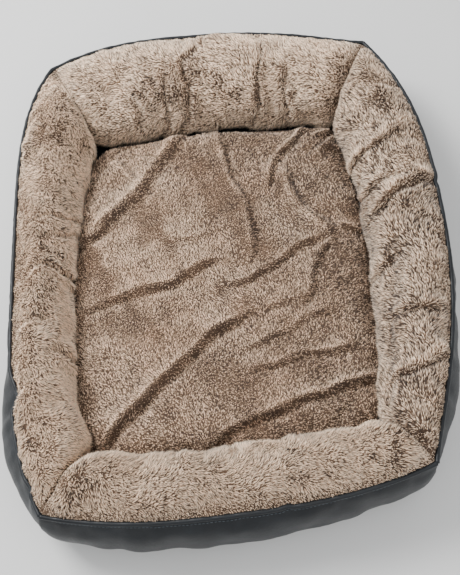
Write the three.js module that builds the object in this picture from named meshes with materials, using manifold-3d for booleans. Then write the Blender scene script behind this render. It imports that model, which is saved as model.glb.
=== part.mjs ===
// Pet cushion bed: a stuffed bolster runs round four sides of a rectangle, with plush over its top and
// imitation leather down its outside, and a loose zipped cushion lies in the nest between the bolsters.
// Units are millimetres and +Z is up. The origin is the centre of the resting face, +X runs to the
// right side and +Y to the back. The sides are taken in anticlockwise order, seen from above.
import * as THREE from 'three';
import { mergeVertices } from 'three/addons/utils/BufferGeometryUtils.js';
import Module from 'manifold-3d';

const wasm = await Module();
wasm.setup();

// ---- Driving dimensions: plan outlines ----

const SIDES = ['front', 'right', 'back', 'left'];

// A plan is four corners, the first where the front side starts, and how each side bows out between
// them: bow is the distance, flatness squares the curve off, and skew above 1 moves its crown on.
const PIPING_PLAN = {
  corners: [[-356, -488], [320, -460], [331, 449], [-348, 463]],
  front: { bow: 41, flatness: 2.6, skew: 1.0 },
  right: { bow: 95, flatness: 2.6, skew: 1.2 },
  back: { bow: 59, flatness: 2.6, skew: 1.25 },
  left: { bow: 66, flatness: 4.0, skew: 0.95 },
};
const NEST_PLAN = {
  corners: [[-286, -382], [249, -372], [255, 298], [-264, 298]],
  front: { bow: 16, flatness: 2.4, skew: 1.0 },
  right: { bow: 26, flatness: 2.4, skew: 1.0 },
  back: { bow: 20, flatness: 2.6, skew: 1.0 },
  left: { bow: 44, flatness: 2.4, skew: 1.1 },
};
const CUSHION_PLAN = {
  corners: [[-282, -378], [245, -368], [251, 292], [-260, 292]],
  front: { bow: 15, flatness: 2.4, skew: 1.0 },
  right: { bow: 25, flatness: 2.4, skew: 1.0 },
  back: { bow: 0, flatness: 2.4, skew: 1.0 },
  left: { bow: 43, flatness: 2.4, skew: 1.1 },
};

// ---- Driving dimensions: bolster section ----

// A section point is [across, height]. Across is 0 at the piping, SECTION_WIDTH at the nest's edge
// and negative outside the piping.
const SECTION_WIDTH = 150;
const COVER_CURVE = [
  [5, 160], [35, 188], [72, 201], [110, 191], [136, 162], [148, 125],
  [150, 98], [145, 70], [132, 44], [115, 22], [100, 7],
];
const WALL_CURVE = [[-12, 4], [-31, 22], [-42, 52], [-44, 84], [-36, 116], [-19, 141], [-3, 151]];
const COVER_THICKNESS = 8;
const WALL_THICKNESS = 3;
const LINING_GAP = 3;
const COVER_POINTS = 12;
const WALL_POINTS = 8;
const PIPING_RADIUS = 4.5;
const PIPING_CENTRE = [0, 156.5];
const PIPING_FACETS = 8;
// How far each side's wall stands out, as a share of its drawn reach, at seven even places from the
// side's start to its end. Sides that meet have the same share at their corner.
const WALL_FULLNESS = {
  front: [0.5, 0.68, 0.73, 0.75, 0.63, 0.4, 0.3],
  right: [0.3, 0.58, 0.32, 0.22, 0.3, 0.36, 0.38],
  back: [0.38, 0.5, 0.55, 0.55, 0.55, 0.5, 0.38],
  left: [0.38, 0.38, 0.36, 0.35, 0.5, 1, 0.5],
};
const LENGTH_STEPS = 14;
const MITRE_GAP = 0.0012;
const CORNER_CROWDING = 0.7;

const BASE_THICKNESS = 3;
const BASE_OVERHANG = -13;
const BASE_POINTS_PER_SIDE = 12;

// ---- Driving dimensions: cushion ----

// A cushion profile point is [share of the way out to the edge, height].
const CUSHION_ROUNDNESS = 16;
const CUSHION_SEGMENTS = 64;
const CUSHION_TOP_PROFILE = [
  [0, 87.5], [0.8, 85.5], [0.92, 81.5], [0.97, 76], [0.985, 68],
  [1, 68], [0.985, 78], [0.93, 86], [0.8, 90], [0, 92],
];
const CUSHION_UNDER_PROFILE = [
  [0, 4], [0.97, 4], [1, 14], [1, 66], [0.986, 66], [0.986, 16], [0.96, 7.6], [0, 7.6],
];
const CUSHION_CORE_PROFILE = [
  [0, 8.6], [0.955, 8.6], [0.98, 17], [0.98, 66], [0.965, 74.5], [0.91, 80], [0.8, 84], [0, 86.4],
];

// ---- Driving dimensions: zip ----

const CUSHION_REAR = 292;
const ZIP_X = -4;
const ZIP_Z = 45;
const ZIP_HALF_LENGTH = 190;
const TAPE_THICKNESS = 0.8;
const TAPE_HEIGHT = 13.7;
const TAPE_GAP = 0.3;
const TEETH_HEIGHT = 2.2;
const TEETH_CLEARANCE = 0.8;
const TEETH_DEPTH = [-1, 2];
const STOP_LENGTH = 3;
const STOP_DEPTH = [-1.2, 2.4];
const STOP_HEIGHT = 6;
const SLOT_HALF_HEIGHT = 7;
const SLOT_EXTRA = 2;
const SLOT_REACH = 10;
const SLIDER_LENGTH = 12;
const SLIDER_HALF_HEIGHT = 4.6;
const SLIDER_WEB = 0.35;
const SLIDER_BACK = [-2.9, -1.5];
const SLIDER_FRONT = [2.5, 3.9];
const BRIDGE_HALF_LENGTH = 5.2;
const BRIDGE_POST = 1.6;
const BRIDGE_BAR = 1.8;
const BRIDGE_OPENING = 2.5;
const BRIDGE_WELD = 0.3;
const PULL_WIDTH = 6;
const PULL_EYE_RADIUS = 1.75;
const PULL_BARREL_RADIUS = 2.7;
const PULL_TAIL = 24;
const PULL_THICKNESS = 1.2;

const COLOURS = {
  leather: '#2f373c',
  plush: '#977a61',
  shortPlush: '#85684f',
  baseCloth: '#24282b',
  fibre: '#e6e3dc',
  foam: '#d9d2bd',
  zipTape: '#4a3a2e',
  zipMetal: '#8f8a80',
};

function finish(colour, roughness, metalness = 0) {
  return new THREE.MeshStandardMaterial({ color: COLOURS[colour], roughness, metalness });
}

const bed = new THREE.Group();

function addPart(name, geometry, material) {
  const mesh = new THREE.Mesh(geometry, material);
  mesh.name = name;
  bed.add(mesh);
  return mesh;
}

// ---- Plan and section helpers ----

// The point a share u of the way along one side of a plan.
function planPoint(plan, side, u) {
  const k = SIDES.indexOf(side);
  const start = new THREE.Vector2(...plan.corners[k]);
  const end = new THREE.Vector2(...plan.corners[(k + 1) % SIDES.length]);
  const along = end.clone().sub(start).normalize();
  const outward = new THREE.Vector2(along.y, -along.x);
  const { bow, flatness, skew } = plan[side];
  const rise = bow * (1 - Math.abs(2 * u ** skew - 1) ** flatness);
  return start.lerp(end, u).addScaledVector(outward, rise);
}

// The wall's fullness at the share u of the way along a side.
function fullness(side, u) {
  const shares = WALL_FULLNESS[side];
  const place = u * (shares.length - 1);
  const k = Math.min(Math.floor(place), shares.length - 2);
  return THREE.MathUtils.lerp(shares[k], shares[k + 1], THREE.MathUtils.smoothstep(place - k, 0, 1));
}

// The plan position of a section point at the share u along a side.
function sectionPoint(side, u, across) {
  const outer = planPoint(PIPING_PLAN, side, u);
  const inner = planPoint(NEST_PLAN, side, u);
  const inward = inner.sub(outer);
  const width = inward.length();
  const reach = across < 0 ? across * fullness(side, u) : (across * width) / SECTION_WIDTH;
  return outer.addScaledVector(inward.normalize(), reach);
}

function withoutSeams(geometry) {
  geometry.deleteAttribute('normal');
  geometry.deleteAttribute('uv');
  return mergeVertices(geometry);
}

// Moves each vertex to where place(x, y, z) says.
function warp(geometry, place) {
  const welded = withoutSeams(geometry);
  const position = welded.getAttribute('position');
  for (let i = 0; i < position.count; i += 1) {
    const [x, y, z] = place(position.getX(i), position.getY(i), position.getZ(i));
    position.setXYZ(i, x, y, z);
  }
  welded.computeVertexNormals();
  return welded;
}

// Brings the steps along a side closer together towards its corners.
function crowded(share) {
  const eased = (1 - Math.cos(Math.PI * share)) / 2;
  return THREE.MathUtils.lerp(share, eased, CORNER_CROWDING);
}

// Runs a section shape along one side of the bed, from mitre to mitre.
function sweepSide(side, shape) {
  const unit = new THREE.ExtrudeGeometry(shape, {
    depth: 1,
    steps: LENGTH_STEPS,
    bevelEnabled: false,
    curveSegments: PIPING_FACETS / 2,
  });
  return warp(unit, (across, height, share) => {
    const u = MITRE_GAP + crowded(share) * (1 - 2 * MITRE_GAP);
    const p = sectionPoint(side, u, across);
    return [p.x, p.y, height];
  });
}

function smoothCurve(keyPoints, count) {
  const spline = new THREE.SplineCurve(keyPoints.map((p) => new THREE.Vector2(...p)));
  return spline.getPoints(count - 1);
}

// The same curve moved towards the filling, which is on its right.
function insetCurve(points, distance) {
  return points.map((point, i) => {
    const before = points[Math.max(i - 1, 0)];
    const after = points[Math.min(i + 1, points.length - 1)];
    const along = after.clone().sub(before).normalize();
    return point.clone().addScaledVector(new THREE.Vector2(along.y, -along.x), distance);
  });
}

function shellShape(points, thickness) {
  const lining = insetCurve(points, thickness).reverse();
  return new THREE.Shape([...points, ...lining]);
}

// ---- Bolster pieces ----

const coverCurve = smoothCurve(COVER_CURVE, COVER_POINTS);
const wallCurve = smoothCurve(WALL_CURVE, WALL_POINTS);

function bolsterCover(side) {
  const shape = shellShape(coverCurve, COVER_THICKNESS);
  addPart(`${side}_bolster_cover`, sweepSide(side, shape), finish('plush', 1));
}

function wallPanel(side) {
  const shape = shellShape(wallCurve, WALL_THICKNESS);
  addPart(`${side}_wall_panel`, sweepSide(side, shape), finish('leather', 0.5));
}

function bolsterFill(side) {
  const behindWall = insetCurve(wallCurve, WALL_THICKNESS + LINING_GAP);
  const behindCover = insetCurve(coverCurve, COVER_THICKNESS + LINING_GAP);
  const shape = new THREE.Shape([...behindWall, ...behindCover]);
  addPart(`${side}_bolster_fill`, sweepSide(side, shape), finish('fibre', 1));
}

function piping(side) {
  const shape = new THREE.Shape();
  shape.absarc(...PIPING_CENTRE, PIPING_RADIUS, 0, 2 * Math.PI);
  addPart(`${side}_piping`, sweepSide(side, shape), finish('leather', 0.4));
}

function basePanel() {
  const outline = [];
  for (const side of SIDES) {
    for (let i = 0; i < BASE_POINTS_PER_SIDE; i += 1) {
      outline.push(sectionPoint(side, i / BASE_POINTS_PER_SIDE, BASE_OVERHANG));
    }
  }
  const sheet = new THREE.ExtrudeGeometry(new THREE.Shape(outline), {
    depth: BASE_THICKNESS,
    bevelEnabled: false,
  });
  addPart('base_panel', withoutSeams(sheet), finish('baseCloth', 0.9));
}

// ---- Cushion ----

// The plan position for a point of the square from -1 to 1, blended from the plan's four sides.
function patchPoint(plan, across, along) {
  const u = THREE.MathUtils.clamp((across + 1) / 2, 0, 1);
  const v = THREE.MathUtils.clamp((along + 1) / 2, 0, 1);
  const point = new THREE.Vector2();
  point.addScaledVector(planPoint(plan, 'front', u), 1 - v);
  point.addScaledVector(planPoint(plan, 'back', 1 - u), v);
  point.addScaledVector(planPoint(plan, 'left', 1 - v), 1 - u);
  point.addScaledVector(planPoint(plan, 'right', v), u);
  const corners = plan.corners.map((corner) => new THREE.Vector2(...corner));
  point.addScaledVector(corners[0], -(1 - u) * (1 - v));
  point.addScaledVector(corners[1], -u * (1 - v));
  point.addScaledVector(corners[2], -u * v);
  point.addScaledVector(corners[3], -(1 - u) * v);
  return point;
}

// Turns a profile about the vertical, then stretches the round body out to the cushion's outline.
function cushionBody(profile) {
  const points = profile.map((p) => new THREE.Vector2(...p));
  const round = new THREE.LatheGeometry(points, CUSHION_SEGMENTS);
  round.rotateX(Math.PI / 2);
  return warp(round, (x, y, z) => {
    const radius = Math.hypot(x, y);
    const roundness = CUSHION_ROUNDNESS;
    const squared = (Math.abs(x) ** roundness + Math.abs(y) ** roundness) ** (1 / roundness);
    const stretch = squared > 0 ? radius / squared : 1;
    const p = patchPoint(CUSHION_PLAN, x * stretch, y * stretch);
    return [p.x, p.y, z];
  });
}

function toManifold(geometry) {
  const vertProperties = geometry.getAttribute('position').array;
  const triVerts = new Uint32Array(geometry.getIndex().array);
  return new wasm.Manifold(new wasm.Mesh({ numProp: 3, vertProperties, triVerts }));
}

function fromManifold(solid) {
  const { vertProperties, triVerts } = solid.getMesh();
  const geometry = new THREE.BufferGeometry();
  geometry.setAttribute('position', new THREE.BufferAttribute(vertProperties, 3));
  geometry.setIndex(new THREE.BufferAttribute(triVerts, 1));
  geometry.computeVertexNormals();
  return geometry;
}

// A box from its middle in x, its range in y from the cushion's rear face and its range in z.
function zipBox(x, halfLength, depths, heights) {
  const box = new THREE.BoxGeometry(2 * halfLength, depths[1] - depths[0], heights[1] - heights[0]);
  const middle = CUSHION_REAR + (depths[0] + depths[1]) / 2;
  box.translate(x, middle, (heights[0] + heights[1]) / 2);
  return withoutSeams(box);
}

function cushionUnderside() {
  const slot = zipBox(
    ZIP_X,
    ZIP_HALF_LENGTH + SLOT_EXTRA,
    [-SLOT_REACH, SLOT_REACH],
    [ZIP_Z - SLOT_HALF_HEIGHT, ZIP_Z + SLOT_HALF_HEIGHT],
  );
  const opened = toManifold(cushionBody(CUSHION_UNDER_PROFILE)).subtract(toManifold(slot));
  addPart('cushion_underside', fromManifold(opened), finish('shortPlush', 1));
}

function cushion() {
  addPart('cushion_top_panel', cushionBody(CUSHION_TOP_PROFILE), finish('shortPlush', 1));
  cushionUnderside();
  addPart('cushion_core', cushionBody(CUSHION_CORE_PROFILE), finish('foam', 0.9));
}

// ---- Zip ----

// One tape and its row of teeth, above the closing line for direction 1 and below it for -1.
function zipHalf(level, direction) {
  const range = (near, far) => {
    const heights = [ZIP_Z + direction * near, ZIP_Z + direction * far];
    return heights.sort((a, b) => a - b);
  };
  const teethTop = TEETH_CLEARANCE + TEETH_HEIGHT;
  const teeth = zipBox(
    ZIP_X,
    ZIP_HALF_LENGTH - STOP_LENGTH,
    TEETH_DEPTH,
    range(TEETH_CLEARANCE, teethTop),
  );
  const tapeStart = teethTop + TAPE_GAP;
  const tape = zipBox(
    ZIP_X,
    ZIP_HALF_LENGTH,
    [TAPE_GAP, TAPE_GAP + TAPE_THICKNESS],
    range(tapeStart, tapeStart + TAPE_HEIGHT),
  );
  addPart(`zip_tape_${level}`, tape, finish('zipTape', 0.9));
  addPart(`zip_teeth_${level}`, teeth, finish('zipTape', 0.5));
}

function zipStop(side, direction) {
  const x = ZIP_X + direction * (ZIP_HALF_LENGTH - STOP_LENGTH / 2 + TAPE_GAP);
  const heights = [ZIP_Z - STOP_HEIGHT / 2, ZIP_Z + STOP_HEIGHT / 2];
  const stop = zipBox(x, STOP_LENGTH / 2, STOP_DEPTH, heights);
  addPart(`zip_stop_${side}`, stop, finish('zipMetal', 0.35, 1));
}

// Runs a shape drawn in y and z along x, centred on x = 0.
function alongX(shape, length) {
  const body = new THREE.ExtrudeGeometry(shape, { depth: length, bevelEnabled: false });
  return warp(body, (x, y, z) => [z - length / 2, x, y]);
}

function rectangle(x0, x1, y0, y1, kind = THREE.Shape) {
  return new kind([
    new THREE.Vector2(x0, y0),
    new THREE.Vector2(x1, y0),
    new THREE.Vector2(x1, y1),
    new THREE.Vector2(x0, y1),
  ]);
}

// Two plates joined by a thin web that runs between the rows of teeth.
function sliderBody() {
  const half = SLIDER_HALF_HEIGHT;
  const shape = new THREE.Shape([
    new THREE.Vector2(SLIDER_BACK[0], -half),
    new THREE.Vector2(SLIDER_BACK[1], -half),
    new THREE.Vector2(SLIDER_BACK[1], -SLIDER_WEB),
    new THREE.Vector2(SLIDER_FRONT[0], -SLIDER_WEB),
    new THREE.Vector2(SLIDER_FRONT[0], -half),
    new THREE.Vector2(SLIDER_FRONT[1], -half),
    new THREE.Vector2(SLIDER_FRONT[1], half),
    new THREE.Vector2(SLIDER_FRONT[0], half),
    new THREE.Vector2(SLIDER_FRONT[0], SLIDER_WEB),
    new THREE.Vector2(SLIDER_BACK[1], SLIDER_WEB),
    new THREE.Vector2(SLIDER_BACK[1], half),
    new THREE.Vector2(SLIDER_BACK[0], half),
  ]);
  return alongX(shape, SLIDER_LENGTH);
}

// The loop on the slider's front plate whose bar carries the pull.
function sliderBridge() {
  const foot = SLIDER_FRONT[1] - BRIDGE_WELD;
  const barStart = SLIDER_FRONT[1] + BRIDGE_OPENING;
  const opening = BRIDGE_HALF_LENGTH - BRIDGE_POST;
  const loop = rectangle(-BRIDGE_HALF_LENGTH, BRIDGE_HALF_LENGTH, foot, barStart + BRIDGE_BAR);
  loop.holes.push(rectangle(-opening, opening, SLIDER_FRONT[1], barStart, THREE.Path));
  const bridge = new THREE.ExtrudeGeometry(loop, { depth: BRIDGE_BAR, bevelEnabled: false });
  bridge.translate(0, 0, -BRIDGE_BAR / 2);
  return withoutSeams(bridge);
}

const closedX = ZIP_X - ZIP_HALF_LENGTH + STOP_LENGTH + SLIDER_LENGTH / 2 + 1;
const pullHinge = SLIDER_FRONT[1] + BRIDGE_OPENING + BRIDGE_BAR / 2;

function zipSlider() {
  const whole = toManifold(sliderBody()).add(toManifold(sliderBridge()));
  const slider = addPart('zip_slider', fromManifold(whole), finish('zipMetal', 0.35, 1));
  slider.position.set(closedX, CUSHION_REAR, ZIP_Z);
}

// A flat tail rolled round the bridge's bar, drawn hanging from the bar's centre.
function zipPull() {
  const half = PULL_THICKNESS / 2;
  const root = Math.asin(half / PULL_BARREL_RADIUS);
  const shape = new THREE.Shape();
  shape.moveTo(half, -PULL_TAIL);
  shape.absarc(0, 0, PULL_BARREL_RADIUS, root - Math.PI / 2, 1.5 * Math.PI - root);
  shape.lineTo(-half, -PULL_TAIL);
  const eye = new THREE.Path();
  eye.absarc(0, 0, PULL_EYE_RADIUS, 0, 2 * Math.PI);
  shape.holes.push(eye);
  const pull = addPart('zip_pull', alongX(shape, PULL_WIDTH), finish('zipMetal', 0.35, 1));
  pull.position.set(closedX, CUSHION_REAR + pullHinge, ZIP_Z);
}

// ---- Assembly ----

basePanel();
for (const side of SIDES) {
  wallPanel(side);
  piping(side);
  bolsterCover(side);
  bolsterFill(side);
}
cushion();
zipHalf('upper', 1);
zipHalf('lower', -1);
zipStop('left', -1);
zipStop('right', 1);
zipSlider();
zipPull();

export default bed;
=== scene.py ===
"""Pet cushion bed: the looks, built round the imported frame.

Lengths in the tables are millimetres; every mesh is made in metres, in the frame's own axes.
The four sides are taken in anticlockwise order seen from above, as in the CAD source.
"""
import math

import bpy
import numpy as np
from mathutils import Matrix, Vector


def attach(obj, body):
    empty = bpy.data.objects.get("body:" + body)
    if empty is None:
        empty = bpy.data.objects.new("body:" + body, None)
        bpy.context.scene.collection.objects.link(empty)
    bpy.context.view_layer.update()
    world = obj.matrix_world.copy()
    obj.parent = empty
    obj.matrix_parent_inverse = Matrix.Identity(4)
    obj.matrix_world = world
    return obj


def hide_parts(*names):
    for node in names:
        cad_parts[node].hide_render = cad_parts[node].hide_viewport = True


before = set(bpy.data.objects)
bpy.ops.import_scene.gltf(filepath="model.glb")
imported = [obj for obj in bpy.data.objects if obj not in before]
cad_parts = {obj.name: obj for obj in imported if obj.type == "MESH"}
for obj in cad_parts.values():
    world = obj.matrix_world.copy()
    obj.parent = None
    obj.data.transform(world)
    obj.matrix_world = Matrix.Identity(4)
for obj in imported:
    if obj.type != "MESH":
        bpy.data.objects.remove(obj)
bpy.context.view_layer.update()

MM = 0.001
WAVES = 14

# ---- Outlines and sections, as in the CAD source ----

SIDES = ("front", "right", "back", "left")
PIPING_PLAN = {
    "corners": [(-356, -488), (320, -460), (331, 449), (-348, 463)],
    "front": (41, 2.6, 1.0), "right": (95, 2.6, 1.2), "back": (59, 2.6, 1.25), "left": (66, 4.0, 0.95),
}
NEST_PLAN = {
    "corners": [(-286, -382), (249, -372), (255, 298), (-264, 298)],
    "front": (16, 2.4, 1.0), "right": (26, 2.4, 1.0), "back": (20, 2.6, 1.0), "left": (44, 2.4, 1.1),
}
CUSHION_PLAN = {
    "corners": [(-282, -378), (245, -368), (251, 292), (-260, 292)],
    "front": (15, 2.4, 1.0), "right": (25, 2.4, 1.0), "back": (0, 2.4, 1.0), "left": (43, 2.4, 1.1),
}
# The cushion's plush top swells past its boxing until it fills the nest.
CUSHION_TOP_PLAN = {
    "corners": [(-287, -384), (250, -374), (256, 298), (-266, 298)],
    "front": (16, 2.4, 1.0), "right": (26, 2.4, 1.0), "back": (17, 2.4, 1.0), "left": (44, 2.4, 1.1),
}
SECTION_WIDTH = 150
WALL_FULLNESS = {
    "front": (0.5, 0.68, 0.73, 0.75, 0.63, 0.4, 0.3), "right": (0.3, 0.58, 0.32, 0.22, 0.3, 0.36, 0.38),
    "back": (0.38, 0.5, 0.55, 0.55, 0.55, 0.5, 0.38), "left": (0.38, 0.38, 0.36, 0.35, 0.5, 1, 0.5),
}
CUSHION_ROUNDNESS = 16

# The cloth itself: the plush backing lies a few millimetres under the fur's tips.
SEAM_POINT = (2, 154)
WALL_SKIN = [(-13, 5), (-29, 23), (-39, 52), (-41, 84), (-33, 115), (-17, 139), SEAM_POINT]
COVER_SKIN = [
    SEAM_POINT, (14, 166), (38, 180), (72, 189), (105, 181), (129, 156), (141, 124),
    (144, 98), (139, 71), (127, 47), (111, 26), (98, 9),
]


def side_line(plan, side, u):
    """Points of one side of a plan, in metres, at the shares u of the way along it."""
    k = SIDES.index(side)
    start = np.array(plan["corners"][k], float)
    end = np.array(plan["corners"][(k + 1) % len(SIDES)], float)
    along = (end - start) / np.linalg.norm(end - start)
    outward = np.array((along[1], -along[0]))
    bow, flatness, skew = plan[side]
    u = np.clip(np.asarray(u, float), 0, 1)[..., None]
    rise = bow * (1 - np.abs(2 * u**skew - 1) ** flatness)
    return MM * (start + (end - start) * u + outward * rise)


def fullness(side, u):
    """How far the wall stands out at the shares u along a side, as a share of its drawn reach."""
    shares = np.array(WALL_FULLNESS[side], float)
    place = np.clip(u, 0, 1) * (len(shares) - 1)
    k = np.minimum(place.astype(int), len(shares) - 2)
    t = place - k
    return shares[k] + (shares[k + 1] - shares[k]) * t * t * (3 - 2 * t)


def section_frames(side, u):
    """Where each section starts at the piping, its direction towards the nest and its width."""
    outer = side_line(PIPING_PLAN, side, u)
    inward = side_line(NEST_PLAN, side, u) - outer
    width = np.linalg.norm(inward, axis=-1, keepdims=True)
    return outer, inward / width, width


def sweep(side, u, curve):
    """A grid of points, sections along the side by points of the section curve."""
    outer, inward, width = section_frames(side, u)
    curve = np.asarray(curve, float)
    across, height = curve[:, 0], curve[:, 1]
    reach = np.where(across < 0, MM * across * fullness(side, u)[:, None], across * width / SECTION_WIDTH)
    plan = outer[:, None, :] + inward[:, None, :] * reach[..., None]
    heights = np.broadcast_to(MM * height, reach.shape)
    return np.concatenate([plan, heights[..., None]], axis=-1)


def smooth_curve(points, count):
    """count points, evenly spaced along a smooth curve through the given ones."""
    p = np.array(points, float)
    ends = np.vstack([2 * p[0] - p[1], p, 2 * p[-1] - p[-2]])
    t = np.linspace(0, len(p) - 1, 50 * len(p))
    i = np.minimum(t.astype(int), len(p) - 2)
    f = (t - i)[:, None]
    a, b, c, d = ends[i], ends[i + 1], ends[i + 2], ends[i + 3]
    dense = 0.5 * (2 * b + (c - a) * f + (2 * a - 5 * b + 4 * c - d) * f**2 + (3 * b - a - 3 * c + d) * f**3)
    run = np.r_[0, np.cumsum(np.linalg.norm(np.diff(dense, axis=0), axis=1))]
    wanted = np.linspace(0, run[-1], count)
    return np.column_stack([np.interp(wanted, run, column) for column in dense.T])


def unit(vectors):
    return vectors / np.maximum(np.linalg.norm(vectors, axis=-1, keepdims=True), 1e-12)


def ripples(points, wavelength, seed):
    """Smooth noise from about -1 to 1: a sum of plane waves with set directions and phases."""
    rng = np.random.default_rng(seed)
    directions = unit(rng.normal(size=(WAVES, 3)))
    frequency = 2 * np.pi / (wavelength * rng.uniform(0.7, 1.5, WAVES))
    phase = rng.uniform(0, 2 * np.pi, WAVES)
    waves = np.cos(points @ directions.T * frequency + phase)
    return waves.sum(-1) * math.sqrt(2 / WAVES) / 1.6


# ---- Mesh helpers ----


def new_mesh(name, points, faces):
    """A smooth-shaded mesh object from points and arrays of three- or four-sided faces."""
    mesh = bpy.data.meshes.new(name)
    faces = [np.asarray(group, np.int32) for group in faces if len(group)]
    corners = np.concatenate([group.ravel() for group in faces])
    sizes = np.concatenate([np.full(len(group), group.shape[1]) for group in faces])
    mesh.vertices.add(len(points))
    mesh.vertices.foreach_set("co", np.asarray(points, np.float32).ravel())
    mesh.loops.add(len(corners))
    mesh.loops.foreach_set("vertex_index", corners)
    mesh.polygons.add(len(sizes))
    mesh.polygons.foreach_set("loop_start", (np.cumsum(sizes) - sizes).astype(np.int32))
    mesh.polygons.foreach_set("use_smooth", np.ones(len(sizes), bool))
    mesh.update(calc_edges=True)
    mesh.validate()
    piece = bpy.data.objects.new(name, mesh)
    bpy.context.scene.collection.objects.link(piece)
    return piece


def set_values(piece, name, values):
    """Stores one number per point, for a material to read."""
    attribute = piece.data.attributes.new(name, "FLOAT", "POINT")
    attribute.data.foreach_set("value", np.asarray(values, np.float32).ravel())


def grid_faces(rows, columns, first=0):
    index = first + np.arange(rows * columns).reshape(rows, columns)
    corners = [index[:-1, :-1], index[1:, :-1], index[1:, 1:], index[:-1, 1:]]
    return np.stack(corners, -1).reshape(-1, 4)


def point_normals(points, faces):
    normals = np.zeros_like(points)
    across = points[faces[:, 2]] - points[faces[:, 0]]
    along = points[faces[:, -1]] - points[faces[:, 1]]
    facing = np.cross(across, along)
    for corner in faces.T:
        np.add.at(normals, corner, facing)
    return unit(normals)


def thicken(points, faces, thickness):
    """A closed shell: the given four-sided faces, a lining that far behind them, and the rim."""
    lining = points - point_normals(points, faces) * thickness
    edges = np.concatenate([faces[:, [k, (k + 1) % 4]] for k in range(4)])
    count = len(points)
    code = edges[:, 0].astype(np.int64) * count + edges[:, 1]
    back = edges[:, 1].astype(np.int64) * count + edges[:, 0]
    rim = edges[~np.isin(code, back)]
    rim_faces = np.column_stack([rim[:, 1], rim[:, 0], rim[:, 0] + count, rim[:, 1] + count])
    return np.vstack([points, lining]), [np.vstack([faces, faces[:, ::-1] + count, rim_faces])]


def refine(grid):
    """Twice the grid's resolution both ways, along smooth curves through its points."""
    for axis in (0, 1):
        g = np.moveaxis(grid, axis, 0)
        middle = (g[:-1] + g[1:]) / 2
        middle[1:-1] = (9 * (g[1:-2] + g[2:-1]) - g[:-3] - g[3:]) / 16
        finer = np.empty((2 * len(g) - 1,) + g.shape[1:])
        finer[::2] = g
        finer[1::2] = middle
        grid = np.moveaxis(finer, 0, axis)
    return grid


def loop_faces(rows, count):
    """Faces between rows of a closed loop, the first row on top, seen from outside."""
    index = np.arange(rows * count).reshape(rows, count)
    ahead = np.roll(index, -1, axis=1)
    return np.stack([index[:-1], index[1:], ahead[1:], ahead[:-1]], -1).reshape(-1, 4)


def tube_faces(rings, count):
    """Faces of a closed tube of rings; the centres of its two ends are its last two points."""
    middle = rings * count
    start = np.arange(count)
    end = start + middle - count
    caps = np.concatenate([
        np.column_stack([np.full(count, middle), start, np.roll(start, -1)]),
        np.column_stack([np.full(count, middle + 1), np.roll(end, -1), end]),
    ])
    return [loop_faces(rings, count), caps]


def skirt_faces(upper, lower):
    """Faces between two closed loops of point numbers."""
    return np.stack([upper, lower, np.roll(lower, -1), np.roll(upper, -1)], -1)


def tube(path, radius, sides):
    """A closed round tube along a path; radius is a number or one number per point."""
    path = np.asarray(path, float)
    radius = np.broadcast_to(radius, len(path))
    along = unit(np.gradient(path, axis=0))
    level = unit(np.cross(along, (0, 0, 1.0)) + 1e-9)
    upward = np.cross(level, along)
    angle = 2 * np.pi * np.arange(sides) / sides
    ring = level[:, None] * np.cos(angle)[None, :, None] + upward[:, None] * np.sin(angle)[None, :, None]
    points = (path[:, None] + ring * radius[:, None, None]).reshape(-1, 3)
    return np.vstack([points, path[0], path[-1]]), tube_faces(len(path), sides)


def join(parts):
    """Several (points, faces) meshes as one."""
    points, faces, first = [], [], 0
    for part_points, part_faces in parts:
        points.append(part_points)
        faces += [np.asarray(group) + first for group in part_faces]
        first += len(part_points)
    return np.vstack(points), faces


CLOTH = {
    "quality": 6, "mass": 0.3, "tension_stiffness": 20, "compression_stiffness": 20,
    "shear_stiffness": 8, "bending_stiffness": 0.6,
}
CLOTH_FRAMES = 20


def inflate(points, faces, pinned, cap, pressure, slack):
    """Cloth pressed outwards from inside, held where pinned, and moved no further than cap."""
    scene = bpy.context.scene
    body = new_mesh("inflating", points, faces)
    seams = body.vertex_groups.new(name="seams")
    seams.add([int(i) for i in np.flatnonzero(pinned)], 1.0, "REPLACE")
    cloth = body.modifiers.new("Cloth", "CLOTH")
    settings = cloth.settings
    for name, value in CLOTH.items():
        setattr(settings, name, value)
    settings.use_pressure = True
    settings.uniform_pressure_force = pressure
    settings.vertex_group_mass = "seams"
    settings.shrink_min = -slack
    settings.shrink_max = -slack
    settings.effector_weights.gravity = 0
    cloth.collision_settings.use_collision = False
    cloth.point_cache.frame_start = 1
    cloth.point_cache.frame_end = CLOTH_FRAMES
    for number in range(1, CLOTH_FRAMES + 1):
        scene.frame_set(number)
    settled = body.evaluated_get(bpy.context.evaluated_depsgraph_get()).to_mesh()
    moved = np.zeros(3 * len(points), np.float32)
    settled.vertices.foreach_get("co", moved)
    bpy.data.objects.remove(body)
    scene.frame_set(1)
    shift = moved.reshape(-1, 3).astype(float) - points
    length = np.linalg.norm(shift, axis=1, keepdims=True)
    soft = cap * np.tanh(length / cap)
    return points + shift / np.maximum(length, 1e-9) * soft


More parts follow.
